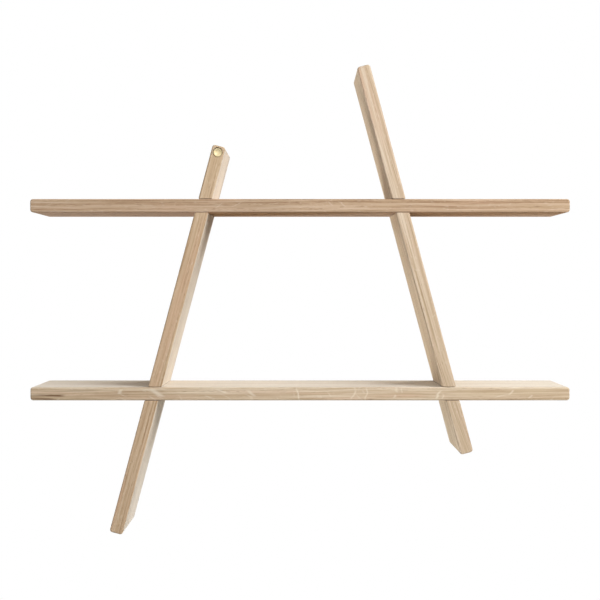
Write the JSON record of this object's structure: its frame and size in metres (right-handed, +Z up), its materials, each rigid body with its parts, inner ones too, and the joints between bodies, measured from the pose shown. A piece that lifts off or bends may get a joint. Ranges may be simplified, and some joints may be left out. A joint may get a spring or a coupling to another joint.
{
  "type": "a-frame shelf",
  "caption": "Wall shelf of level boards cross-halved over leaning posts that form an open A, fixed through a capped screw bore and a keyhole hanger.",
  "frame": {"origin": "middle of the upper shelf's back edge, half way up its thickness, on the wall plane", "axes": "+X along the shelves to the right seen from the front, +Y out of the back towards the wall, +Z up"},
  "size_m": [0.78, 0.18, 0.6794],
  "materials": {
    "oak": "pale matt oil",
    "brass": "turned, satin",
    "zinc_steel": "bright zinc"
  },
  "bodies": {
    "root": {"upper_shelf": "oak", "lower_shelf": "oak", "left_post": "oak", "right_post": "oak", "brass_cap": "brass", "keyhole_hanger": "zinc_steel", "hanger_screws": "zinc_steel"}
  },
  "joints": []
}
